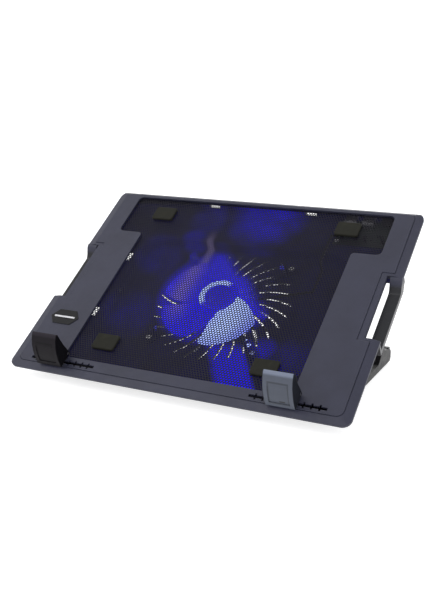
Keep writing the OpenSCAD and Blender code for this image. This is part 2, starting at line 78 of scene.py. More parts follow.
# A blade's root radius and reach, its half width at the tip and what the root adds, in mm and degrees
BLADE_ROOT, BLADE_REACH = 16.5, 49.2
BLADE_TIP_HALF, BLADE_ROOT_EXTRA = 31, 17
FIRST_BLADE, BLADE_SWEEP = -60, 20
# Soft lights inside the housing: x, y and power in watts, all at one height
LAMP_SPOTS = ((-70, 150, 0.020), (60, 50, 0.012), (-10, 226, 0.015))
LAMP_SPOT_Z = -7.0
# Soft patches of painted blue glow beside the fan's axis, in metres: x, y, size and share
GLOW_PATCHES = (
    (0.010, 0.128, 0.060, 0.85), (-0.068, 0.086, 0.022, 0.55), (-0.104, 0.060, 0.040, 0.28),
    (-0.100, -0.030, 0.050, 0.20), (-0.060, 0.118, 0.035, 0.35), (0.068, -0.050, 0.020, 0.8),
    (0.100, -0.060, 0.040, 0.20),
)
# Chips on the board: x, y, width, depth, height; and capacitors: x, y, radius, height
CHIPS = (
    (122, 247, 5.0, 4.0, 1.5), (112, 252, 2.0, 1.2, 0.7), (116, 252, 2.0, 1.2, 0.7),
    (131, 251, 3.2, 2.6, 1.1), (139, 246, 2.0, 1.2, 0.7), (139, 249, 2.0, 1.2, 0.7),
    (147, 252, 6.0, 2.6, 2.2), (106, 246, 4.2, 2.6, 2.0),
)
CANS = ((152, 244, 2.5, 5.5), (133, 244, 2.0, 5.0))
# The floor is flat to this radius in metres, then rises by RISE (r - radius)^2
FLAT_RADIUS, RISE, SPOKES = 2.5, 0.12, 64
# The camera: lens in mm, frame shift, its right and up directions, and its place from the deck's corner
LENS, SHIFT = 52.94, (-0.0008, -0.0042)
CAMERA_RIGHT, CAMERA_UP = (0.89183, 0.45237, 0.0), (-0.11537, 0.22746, 0.96693)
CAMERA_FROM_CORNER = (0.5992, -0.6978, 0.3075)

HINGE_IN_DECK = Vector((0.0, HINGE_Y, HINGE_Z)) * MM
DECK = (
    Matrix.Translation(Vector(JOINTS["deck_tilt"]["pos_m"]))
    @ Matrix.Rotation(TILT, 4, "X")
    @ Matrix.Translation(-HINGE_IN_DECK)
)
FAN_IN_DECK = Vector((0.0, FAN_Y, 0.0)) * MM


# ---- Sizes and colours a user would change ----


class CasingSettings(bpy.types.PropertyGroup):
    """Colour and edges of the moulded casings."""

    colour: FloatVectorProperty(
        name="Casing colour", description="Colour of the moulded casings",
        subtype="COLOR", size=3, min=0, max=1, default=(0.0205, 0.0215, 0.0385),
    )
    edge: FloatProperty(
        name="Edge radius", description="Rounding of the casings' edges",
        default=0.0009, min=0.0001, max=0.002, precision=5, unit="LENGTH",
    )


class GrilleSettings(bpy.types.PropertyGroup):
    """Pattern of the perforated steel grille."""

    pitch: FloatProperty(
        name="Hole pitch", description="Distance between neighbouring holes",
        default=0.0031, min=0.002, max=0.006, precision=5, unit="LENGTH",
    )
    open_share: FloatProperty(
        name="Hole size", description="Hole width as a share of the pitch",
        default=0.75, min=0.3, max=0.92, subtype="FACTOR",
    )
    colour: FloatVectorProperty(
        name="Grille colour", description="Colour of the grille's powder coat",
        subtype="COLOR", size=3, min=0, max=1, default=(0.007, 0.0065, 0.011),
    )


class FanSettings(bpy.types.PropertyGroup):
    """Shape of the fan and the glow painted on it."""

    blades: IntProperty(name="Blades", description="Number of fan blades", default=5, min=3, max=9)
    glow: FloatVectorProperty(
        name="Glow colour", description="Colour of the lit blades",
        subtype="COLOR", size=3, min=0, max=1, default=(0.008, 0.001, 0.74),
    )
    # Pale painted light on the blade in front of the lamp, in place of lamp light.
    bright: FloatVectorProperty(
        name="Bright colour", description="Colour of the blade in front of the lamp",
        subtype="COLOR", size=3, min=0, max=1, default=(0.47, 0.62, 1.0),
    )
    power: FloatProperty(name="Glow strength", description="Strength of the glow", default=1.0, min=0, max=10)


# ---- Meshes ----


def deck_to_world(points):
    """Deck millimetres to world metres: scale, turn by the tilt about X, move to the hinge."""
    m = np.array(DECK)
    return (np.asarray(points, float) * MM) @ m[:3, :3].T + m[:3, 3]


def mesh_of(name, points, face_sets):
    """A mesh from a point array and arrays of faces, one array per number of corners."""
    mesh = bpy.data.meshes.new(name)
    face_sets = [np.asarray(f, np.int32) for f in face_sets if len(f)]
    sizes = np.concatenate([np.full(len(f), f.shape[1], np.int32) for f in face_sets])
    mesh.vertices.add(len(points))
    mesh.vertices.foreach_set("co", np.ascontiguousarray(points, np.float32).ravel())
    mesh.loops.add(int(sizes.sum()))
    mesh.loops.foreach_set("vertex_index", np.concatenate([f.ravel() for f in face_sets]))
    mesh.polygons.add(len(sizes))
    mesh.polygons.foreach_set("loop_start", np.concatenate([[0], np.cumsum(sizes)[:-1]]).astype(np.int32))
    mesh.update(calc_edges=True)
    mesh.validate()
    return mesh


def grid_faces(rows, columns, loop_rows=False, loop_columns=False):
    """Quads of a rows x columns grid of points, joined end to end where asked."""
    i = np.arange(rows if loop_rows else rows - 1)[:, None]
    j = np.arange(columns if loop_columns else columns - 1)[None, :]
    i2, j2 = (i + 1) % rows, (j + 1) % columns
    corners = (i * columns + j, i * columns + j2, i2 * columns + j2, i2 * columns + j)
    return np.stack(np.broadcast_arrays(*corners), -1).reshape(-1, 4)


def outward(mesh):
    """Turns a closed mesh's faces outwards, its doubles merged first."""
    work = bmesh.new()
    work.from_mesh(mesh)
    bmesh.ops.remove_doubles(work, verts=work.verts, dist=1e-6)
    bmesh.ops.recalc_face_normals(work, faces=work.faces)
    work.to_mesh(mesh)
    work.free()


def add_piece(name, mesh, materials, body, stands_for=(), smooth=True):
    """Links a mesh as a piece that rides on a body, with the given materials on its mesh."""
    piece = bpy.data.objects.new(name, mesh)
    bpy.context.scene.collection.objects.link(piece)
    for material in materials if isinstance(materials, (list, tuple)) else [materials]:
        mesh.materials.append(material)
    mesh.polygons.foreach_set("use_smooth", np.full(len(mesh.polygons), smooth))
    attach(piece, body)
    if stands_for:
        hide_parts(*stands_for)
    return piece


def round_edges(piece, width, segments=2, angle=30):
    """A bevel on every edge sharper than the angle, with flat faces kept flat."""
    bevel = piece.modifiers.new("Edges", "BEVEL")
    bevel.width = width
    bevel.segments = segments
    bevel.limit_method = "ANGLE"
    bevel.angle_limit = math.radians(angle)
    bevel.harden_normals = True
    bevel.use_clamp_overlap = True


def surface_of(node, materials, body, join=True):
    """A CAD node's own surface with its doubles merged. join makes one face of each flat side, and is
    given up where a flat side with holes can't be one face: the triangles' area would change."""
    mesh = frame["nodes"][node].data.copy()
    mesh.name = node + "_surface"
    mesh.materials.clear()
    work = bmesh.new()
    work.from_mesh(mesh)
    bmesh.ops.remove_doubles(work, verts=work.verts, dist=2e-6)
    area = sum(face.calc_area() for face in work.faces)
    if join:
        joined = work.copy()
        bmesh.ops.dissolve_limit(
            joined, angle_limit=math.radians(1.0), verts=joined.verts, edges=joined.edges,
            use_dissolve_boundaries=False,
        )
        split = joined.copy()
        bmesh.ops.triangulate(split, faces=split.faces)
        new_area = sum(face.calc_area() for face in split.faces)
        split.free()
        if abs(new_area / area - 1) < 0.001:
            work, joined = joined, work
        joined.free()
    work.to_mesh(mesh)
    work.free()
    if "custom_normal" in mesh.attributes:
        mesh.attributes.remove(mesh.attributes["custom_normal"])
    piece = add_piece(node + "_surface", mesh, materials, body, (node,))
    mesh.set_sharp_from_angle(angle=math.radians(30))
    return piece


def rounded_node(node, materials, body, width, segments=2):
    """A CAD node's own surface with its sharp edges rounded."""
    piece = surface_of(node, materials, body)
    round_edges(piece, width, segments)
    return piece


def paint_inside(piece, test):
    """Gives the second material to the faces whose corners all pass a test in deck millimetres."""
    mesh = piece.data
    inverse = np.array(DECK.inverted())
    points = np.empty(len(mesh.vertices) * 3)
    mesh.vertices.foreach_get("co", points)
    inside = test((points.reshape(-1, 3) @ inverse[:3, :3].T + inverse[:3, 3]) / MM)
    corner = np.empty(len(mesh.loops), np.int32)
    mesh.loops.foreach_get("vertex_index", corner)
    starts = np.empty(len(mesh.polygons), np.int32)
    mesh.polygons.foreach_get("loop_start", starts)
    lit = np.minimum.reduceat(inside[corner].astype(np.int32), starts)
    mesh.polygons.foreach_set("material_index", lit)


def turned(profile, sides):
    """A profile of (radius, height) carried round a vertical axis: x = r cos a, y = r sin a."""
    profile = np.asarray(profile, float)
    angle = np.linspace(0, 2 * math.pi, sides, endpoint=False)[:, None]
    return np.stack(
        [
            profile[None, :, 0] * np.cos(angle),
            profile[None, :, 0] * np.sin(angle),
            np.broadcast_to(profile[None, :, 1], (sides, len(profile))),
        ],
        -1,
    ).reshape(-1, 3)


def smooth_step(x, low, high):
    """0 below low, 1 above high, 3t^2 - 2t^3 between."""
    t = np.clip((x - low) / (high - low), 0, 1)
    return t * t * (3 - 2 * t)


# ---- Materials ----


class Graph:
    """A short way to lay out one material's nodes."""

    def __init__(self, name):
        self.material = bpy.data.materials.new(name)
        self.material.use_nodes = True
        self.tree = self.material.node_tree
        self.shader = self.tree.nodes["Principled BSDF"]

    def node(self, kind, inputs=(), **values):
        made = self.tree.nodes.new(kind)
        for key, value in values.items():
            setattr(made, key, value)
        for key, value in dict(inputs).items():
            self.feed(made.inputs[key], value)
        return made

    def feed(self, socket, value):
        if isinstance(value, bpy.types.NodeSocket):
            self.tree.links.new(value, socket)
        else:
            socket.default_value = value

    def set(self, **values):
        for key, value in values.items():
            self.feed(self.shader.inputs[key.replace("_", " ")], value)

    def place(self):
        return self.node("ShaderNodeTexCoord").outputs["Object"]

    def deck_place(self):
        """Object coordinates turned into the flat deck's, with the fan's centre as origin."""
        turn = DECK.inverted()
        shift = turn.to_translation() - FAN_IN_DECK
        return self.node(
            "ShaderNodeMapping",
            {"Vector": self.place(), "Location": shift, "Rotation": (-TILT, 0, 0)},
        ).outputs[0]

    def noise(self, scale, detail=4.0, vector=None, rough=0.55):
        return self.node(
            "ShaderNodeTexNoise",
            {"Vector": vector or self.place(), "Scale": scale, "Detail": detail, "Roughness": rough},
        ).outputs["Fac"]

    def math(self, kind, a, b=0.0, clamp=False):
        made = self.node("ShaderNodeMath", operation=kind, use_clamp=clamp)
        self.feed(made.inputs[0], a)
        self.feed(made.inputs[1], b)
        return made.outputs[0]

    def spread(self, value, low, high, to_low=0.0, to_high=1.0, kind="SMOOTHSTEP"):
        return self.node(
            "ShaderNodeMapRange",
            {"Value": value, "From Min": low, "From Max": high, "To Min": to_low, "To Max": to_high},
            interpolation_type=kind,
        ).outputs[0]

    def blend(self, share, a, b):
        made = self.node("ShaderNodeMix", data_type="RGBA")
        self.feed(made.inputs["Factor"], share)
        self.feed(made.inputs["A"], a)
        self.feed(made.inputs["B"], b)
        return made.outputs["Result"]

    def bump(self, height, distance, strength=1.0, under=None):
        inputs = {"Height": height, "Distance": distance, "Strength": strength}
        if under is not None:
            inputs["Normal"] = under
        return self.node("ShaderNodeBump", inputs).outputs[0]


def rgba(colour, gain=1.0):
    return tuple(min(1.0, c * gain) for c in colour[:3]) + (1.0,)


def grained_plastic(name, colour, rough=0.46, grain=0.00004, shine=0.30, edge=0.0):
    """Moulded plastic: a fine spark-eroded grain, faint flow mottling and handling marks in the gloss,
    and edges shaded as rounded where edge gives a radius."""
    g = Graph(name)
    under = g.node("ShaderNodeBevel", {"Radius": edge}, samples=4).outputs[0] if edge else None
    grain_noise = g.noise(2600.0, 3.0)
    flow = g.noise(26.0, 4.0)
    marks = g.noise(140.0, 6.0, rough=0.7)
    tone = g.blend(g.spread(flow, 0.35, 0.65), rgba(colour, 0.90), rgba(colour, 1.10))
    tone = g.blend(g.math("MULTIPLY", g.spread(grain_noise, 0.4, 0.7), 0.25), tone, rgba(colour, 1.5))
    g.set(
        Base_Color=tone,
        Roughness=g.spread(marks, 0.3, 0.75, rough - 0.07, rough + 0.09, "LINEAR"),
        Normal=g.bump(grain_noise, grain, under=under),
    )
    g.shader.inputs["Specular IOR Level"].default_value = shine
    return g


def rubber(name, colour):
    """Soft rubber: dull, slightly dusty, with a coarse tooth."""
    g = Graph(name)
    tooth = g.noise(1500.0, 2.0)
    dust = g.noise(90.0, 5.0)
    g.set(
        Base_Color=g.blend(g.spread(dust, 0.45, 0.8), rgba(colour), rgba(colour, 1.7)),
        Roughness=g.spread(dust, 0.3, 0.7, 0.72, 0.9, "LINEAR"),
        Normal=g.bump(tooth, 0.00008),
    )
    g.shader.inputs["Specular IOR Level"].default_value = 0.15
    return g


def metal(name, colour, rough=0.3, lines=(1.0, 1.0, 1.0), scale=900.0):
    """Bare metal with fine machining lines along one axis and dull spots."""
    g = Graph(name)
    stretched = g.node("ShaderNodeMapping", {"Vector": g.place(), "Scale": lines}).outputs[0]
    streaks = g.noise(scale, 3.0, stretched)
    spots = g.noise(220.0, 4.0)
    g.set(
        Base_Color=g.blend(g.spread(spots, 0.4, 0.8), rgba(colour), rgba(colour, 0.7)),
        Roughness=g.spread(streaks, 0.3, 0.7, rough * 0.75, rough * 1.4, "LINEAR"),
        Normal=g.bump(streaks, 0.00001),
    )
    g.shader.inputs["Metallic"].default_value = 1.0
    return g


def glow_masks(g):
    """Shares of painted blue glow over the deck's plan, from the place (x, y) beside the fan's axis and the
    distance r to it: the fan's disc, brightest on the left; a painted beam x + 0.66 y wide that runs to the
    front; soft painted patches at the back and left, broken up by noise; and a narrow pale streak of painted
    reflection."""
    spot = g.node("ShaderNodeSeparateXYZ", {"Vector": g.deck_place()}).outputs
    x, y = spot["X"], spot["Y"]
    r = g.math("SQRT", g.math("ADD", g.math("MULTIPLY", x, x), g.math("MULTIPLY", y, y)))
    inside = g.spread(y, -0.1125, -0.1105)
    cx, cy = g.math("ADD", x, 0.011), g.math("SUBTRACT", y, 0.014)
    round_spot = g.math("SQRT", g.math("ADD", g.math("MULTIPLY", cx, cx), g.math("MULTIPLY", cy, cy)))
    side = g.spread(g.math("ADD", x, y), 0.066, 0.034, 0.03, 1.0)
    disc = g.math("MULTIPLY", g.spread(round_spot, 0.077, 0.060), g.math("MULTIPLY", side, 0.85))
    disc = g.math("MAXIMUM", disc, g.math("MULTIPLY", g.spread(r, 0.046, 0.026), 0.85), clamp=True)
    across = g.math("ADD", x, g.math("MULTIPLY", y, 0.66))
    beam = g.math("MULTIPLY", g.spread(across, -0.038, -0.024), g.spread(across, 0.015, 0.007))
    beam = g.math("MULTIPLY", beam, g.spread(y, -0.044, -0.062))
    beam = g.math("MULTIPLY", beam, inside)
    patches = 0.045
    for px, py, size, share in GLOW_PATCHES:
        dx, dy = g.math("SUBTRACT", x, px), g.math("SUBTRACT", y, py)
        away = g.math("SQRT", g.math("ADD", g.math("MULTIPLY", dx, dx), g.math("MULTIPLY", dy, dy)))
        patches = g.math("MAXIMUM", g.spread(away, size, size * 0.25, 0.0, share), patches)
    clouds = g.spread(g.noise(38.0, 2.0), 0.3, 0.7, 0.45, 1.0)
    # Painted reflection: a narrow pale streak near x = -47 mm.
    streak = g.math("MULTIPLY", g.spread(g.math("ABSOLUTE", g.math("ADD", x, 0.047)), 0.007, 0.001),
                    g.math("MULTIPLY", g.spread(y, 0.040, 0.060), g.spread(y, 0.104, 0.080)))
    return disc, beam, g.math("MULTIPLY", g.math("MULTIPLY", patches, clouds), inside), streak


def painted_glow_plastic(name, colour, glow, power):
    """The casing's inner faces: black plastic with painted blue glow standing in for the light that falls on
    them, and a pale streak of painted reflection.
    """
    g = grained_plastic(name, colour, 0.55, shine=0.15)
    disc, beam, patches, streak = glow_masks(g)
    share = g.math("MAXIMUM", disc, beam)
    share = g.math("MAXIMUM", share, patches, clamp=True)
    blue = g.blend(share, (0.0, 0.0, 0.0, 1.0), rgba(glow))
    # Painted glow: emission in the glow colour by the masks, with a pale painted reflection along the streak.
    g.set(Emission_Color=g.blend(g.math("MULTIPLY", streak, 0.6), blue, (0.22, 0.17, 0.40, 1.0)))
    g.shader.inputs["Emission Strength"].default_value = power
    return g


def casing_plastic(name, colour, edge):
    """Casing plastic whose hand grips are black and glossier: where z is under -9 mm and |x| over 172 mm."""
    g = grained_plastic(name, colour, edge=edge)
    spot = g.node("ShaderNodeSeparateXYZ", {"Vector": g.deck_place()}).outputs
    low = g.spread(spot["Z"], -0.0050, -0.0095)
    outer = g.spread(g.math("ABSOLUTE", spot["X"]), 0.1695, 0.1725)
    grip = g.math("MULTIPLY", low, outer)
    base = g.shader.inputs["Base Color"].links[0].from_socket
    rough = g.shader.inputs["Roughness"].links[0].from_socket
    smoother = g.math("MULTIPLY", rough, g.spread(grip, 0.0, 1.0, 1.0, 0.55))
    g.set(
        Base_Color=g.blend(g.math("MULTIPLY", grip, 0.9), base, (0.006, 0.0065, 0.008, 1.0)),
        Roughness=smoother,
    )
    return g


def stopper_plastic(name, colour, centre, shine):
    """Stopper plastic whose sunk panel is drawn stronger with painted shade: a dark line where
    max(|x| - 9.8, |z - 17.2| - 10.8) is near 0 mm and a slightly darker area inside it, both painted shade of
    the recess, a small slot painted dark as its shade, a painted highlight along the top edge and painted
    shade on the sides."""
    g = grained_plastic(name, colour, 0.42, shine=shine)
    spot = g.node("ShaderNodeSeparateXYZ", {"Vector": g.deck_place()}).outputs
    x = g.math("SUBTRACT", spot["X"], centre * MM)
    z = spot["Z"]
    wide = g.math("SUBTRACT", g.math("ABSOLUTE", x), 0.0098)
    tall = g.math("SUBTRACT", g.math("ABSOLUTE", g.math("SUBTRACT", z, 0.0172)), 0.0108)
    edge = g.math("MAXIMUM", wide, tall)
    line = g.spread(g.math("ABSOLUTE", edge), 0.0011, 0.0002)
    recess_shade = g.spread(edge, 0.0, -0.0006)
    slot_x = g.spread(g.math("ABSOLUTE", g.math("SUBTRACT", x, 0.003)), 0.0030, 0.0026)
    slot_z = g.spread(g.math("ABSOLUTE", g.math("SUBTRACT", z, 0.0088)), 0.0009, 0.0005)
    slot = g.math("MULTIPLY", slot_x, slot_z)
    base = g.shader.inputs["Base Color"].links[0].from_socket
    # Painted shade: the sunk panel's darker area and its dark edge line, and a slot painted dark.
    tone = g.blend(g.math("MULTIPLY", recess_shade, 0.22), base, rgba(colour, 0.4))
    tone = g.blend(g.math("MULTIPLY", line, 0.65), tone, rgba(colour, 0.2))
    tone = g.blend(slot, tone, (0.004, 0.004, 0.005, 1.0))
    # Painted highlight along the top edge.
    lip_highlight = g.spread(z, 0.0325, 0.0345)
    tone = g.blend(g.math("MULTIPLY", lip_highlight, 0.6), tone, rgba(colour, 3.5))
    # Painted shade on the side faces, with their gloss turned down.
    side = g.spread(g.math("ABSOLUTE", x), 0.0143, 0.0149)
    shine_node = g.spread(side, 0.0, 1.0, shine, 0.05)
    g.set(
        Base_Color=g.blend(g.math("MULTIPLY", side, 0.85), tone, (0.004, 0.004, 0.005, 1.0)),
        Specular_IOR_Level=shine_node,
    )
    return g


def fan_plastic(name, glow, bright, power):
    """Clear blue blades whose glow is painted in as emission from attributes worked out with the shape: lit,
    streak and clear. lit is the painted glow, above 1 the pale painted light on the blade in front of the
    lamp; streak is a pale painted reflection.
    """
    g = Graph(name)
    lit = g.node("ShaderNodeAttribute", attribute_name="lit").outputs["Fac"]
    streak = g.node("ShaderNodeAttribute", attribute_name="streak").outputs["Fac"]
    clear = g.node("ShaderNodeAttribute", attribute_name="clear").outputs["Fac"]
    swirl = g.spread(g.noise(60.0, 3.0), 0.3, 0.7, 0.75, 1.0)
    shade = g.blend(g.math("MINIMUM", lit, 1.0), (0.0, 0.0, 0.02, 1.0), rgba(glow))
    shade = g.blend(g.math("MULTIPLY", streak, swirl), shade, (0.20, 0.14, 0.36, 1.0))
    shade = g.blend(g.math("SUBTRACT", lit, 1.0, clamp=True), shade, rgba(bright))
    g.set(
        Base_Color=rgba(glow, 0.5),
        Emission_Color=shade,
        Alpha=clear,
        Roughness=g.spread(g.noise(180.0, 4.0), 0.3, 0.7, 0.12, 0.26, "LINEAR"),
    )
    g.shader.inputs["Emission Strength"].default_value = power
    return g


# ---- Scene data shared by the operators ----


def settings():
    scene = bpy.context.scene
    return scene.pad_casing, scene.pad_grille, scene.pad_fan


def make_finishes():
    """All materials by finish."""
    casing, grille, fan = settings()
    colour = tuple(casing.colour)
    found = {
        "casing": casing_plastic("casing plastic", colour, casing.edge),
        # The housing's inner faces are near-black, darker than the same casing outside: painted shade inside
        # the housing, under the painted blue glow.
        "inside": painted_glow_plastic("inner plastic with painted glow and shade", (0.006, 0.005, 0.007), tuple(fan.glow), fan.power * 1.2),
        # The two stoppers are one plastic in two copies: the left one darkened as painted shade, the right
        # one lighter and bluer as a painted reflection of the blue glow.
        "left_stopper": stopper_plastic("stopper plastic with painted shade", (0.006, 0.005, 0.007), -137.0, 0.10),
        "right_stopper": stopper_plastic("stopper plastic with painted blue reflection", (0.050, 0.058, 0.080), 123.0, 0.35),
        "black": grained_plastic("black plastic", (0.006, 0.006, 0.007), 0.4, shine=0.16, edge=0.0006),
        "frame": painted_glow_plastic("fan frame plastic with painted glow", (0.008, 0.008, 0.010), tuple(fan.glow), fan.power * 0.8),
        "grille": grained_plastic("powder coat", tuple(grille.colour), 0.5, 0.00002, 0.17),
        "rubber": rubber("rubber", (0.012, 0.012, 0.009)),
        "fan": fan_plastic("fan plastic with painted glow", tuple(fan.glow), tuple(fan.bright), fan.power * 1.3),
        "steel": metal("plated steel", (0.60, 0.60, 0.63), 0.28, (1.0, 8.0, 8.0)),
        "brass": metal("brass", (0.72, 0.50, 0.22), 0.3, (6.0, 6.0, 1.0)),
        "tongue": grained_plastic("socket tongue plastic", (0.02, 0.06, 0.35), 0.4),
    }
    copper = metal("lacquered winding", (0.55, 0.24, 0.10), 0.3, (1.0, 1.0, 30.0), 300.0)
    board = Graph("solder mask")
    tracks = board.node(
        "ShaderNodeTexBrick",
        {"Vector": board.place(), "Scale": 320.0, "Mortar Size": 0.06,
         "Color1": (0.004, 0.010, 0.007, 1), "Color2": (0.003, 0.008, 0.006, 1),
         "Mortar": (0.010, 0.026, 0.016, 1)},
    )
    board.set(
        Base_Color=tracks.outputs["Color"], Roughness=0.3,
        Normal=board.bump(tracks.outputs["Fac"], 0.00003),
    )
    lamp = Graph("lamp lens")
    ripple = lamp.noise(900.0, 2.0)
    spot = lamp.node("ShaderNodeSeparateXYZ", {"Vector": lamp.deck_place()}).outputs
    near = lamp.spread(lamp.math("SUBTRACT", spot["X"], spot["Y"]), 0.090, 0.100)
    lit = lamp.blend(near, (0.004, 0.003, 0.10, 1.0), (0.45, 0.55, 1.0, 1.0))
    lamp.set(
        Base_Color=(0.05, 0.06, 0.30, 1.0),
        Emission_Color=lamp.blend(lamp.spread(ripple, 0.3, 0.7, 0.0, 0.5), lit, (0.02, 0.02, 0.4, 1.0)),
        Roughness=lamp.spread(ripple, 0.3, 0.7, 0.08, 0.2, "LINEAR"),
    )
    lamp.shader.inputs["Emission Strength"].default_value = 1.6
    found.update(winding=copper, board=board, lamp=lamp)
    return {key: graph.material for key, graph in found.items()}


FINISH = {}


def finish_node(node, finish):
    """Gives a carried-over node one of the finishes."""
    data = frame["nodes"][node].data
    data.materials.clear()
    data.materials.append(FINISH[finish])


# ---- Operators ----


class PAD_OT_finishes(bpy.types.Operator):
    """Make the materials"""

    bl_idname = "pad.finishes"
    bl_label = "Finishes"

    def execute(self, context):
        FINISH.update(make_finishes())
        return {"FINISHED"}


class PAD_OT_casings(bpy.types.Operator):
    """Finish the two deck casings, and give the lower one's inside painted blue glow and painted shade"""

    bl_idname = "pad.casings"
    bl_label = "Casings"

    def execute(self, context):
        surface_of("upper_case", FINISH["casing"], "deck", join=False)

        def inside(p):
            x, y, z = np.abs(p[:, 0]), p[:, 1], p[:, 2]
            housing, tray = (
                (x < half) & (y > front) & (y < back) & (z > floor)
                for half, front, back, floor in (HOUSING, TRAY)
            )
            return (housing | tray) & (z < INSIDE_TOP)

        lower = surface_of("lower_case", [FINISH["casing"], FINISH["inside"]], "deck", join=False)
        paint_inside(lower, inside)
        return {"FINISHED"}


class PAD_OT_grille(bpy.types.Operator):
    """Make the perforated grille in three sheets"""

    bl_idname = "pad.grille"
    bl_label = "Grille"

    def execute(self, context):
        setting = context.scene.pad_grille
        pitch = setting.pitch / MM
        row = pitch * math.sqrt(3) / 2
        i, j = np.meshgrid(np.arange(-70, 71), np.arange(0, 130))
        x = ((i + 0.5 * (j % 2)) * pitch).ravel()
        y = (GRILLE_FRONT + j * row).ravel()
        wide = (np.abs(x) < GRILLE_WIDE) & (y > GRILLE_STEP) & (y < GRILLE_BACK)
        narrow = (np.abs(x) < GRILLE_NARROW) & (y <= GRILLE_STEP)
        for name, keep in (
            ("grille_back", wide),
            ("grille_left", narrow & (x < 0)),
            ("grille_right", narrow & (x >= 0)),
        ):
            self.sheet(name, np.stack([x[keep], y[keep]], 1), pitch, setting.open_share)
        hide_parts("mesh_grille")
        return {"FINISHED"}

    def sheet(self, name, centres, pitch, open_share):
        """Each hole sits in a hexagonal cell: the ring between them is six quads, and neighbouring
        cells share corners, so the thickness comes from Solidify."""
        corner = np.radians(np.arange(6) * 60 + 30)
        ring = np.stack([np.cos(corner), np.sin(corner)], 1)
        outer = centres[:, None, :] + ring * pitch / math.sqrt(3)
        inner = centres[:, None, :] + ring * pitch * open_share / math.sqrt(3) * COAT_SHARE
        count = len(centres)
        flat_outer = np.round(outer.reshape(-1, 2), 3)
        shared, where = np.unique(flat_outer, axis=0, return_inverse=True)
        where = where.reshape(count, 6)
        own = len(shared) + np.arange(count * 6).reshape(count, 6)
        nxt = np.roll(np.arange(6), -1)
        faces = np.stack([where, where[:, nxt], own[:, nxt], own], -1).reshape(-1, 4)
        flat = np.concatenate([shared, inner.reshape(-1, 2)])
        top = np.full((len(flat), 1), PANEL_UNDERSIDE - SHEET_GAP)
        mesh = mesh_of(name, deck_to_world(np.hstack([flat, top])), [faces])
        piece = add_piece(name, mesh, FINISH["grille"], "deck", smooth=False)
        solid = piece.modifiers.new("Thickness", "SOLIDIFY")
        solid.thickness = SHEET_THICKNESS * MM
        solid.offset = -1


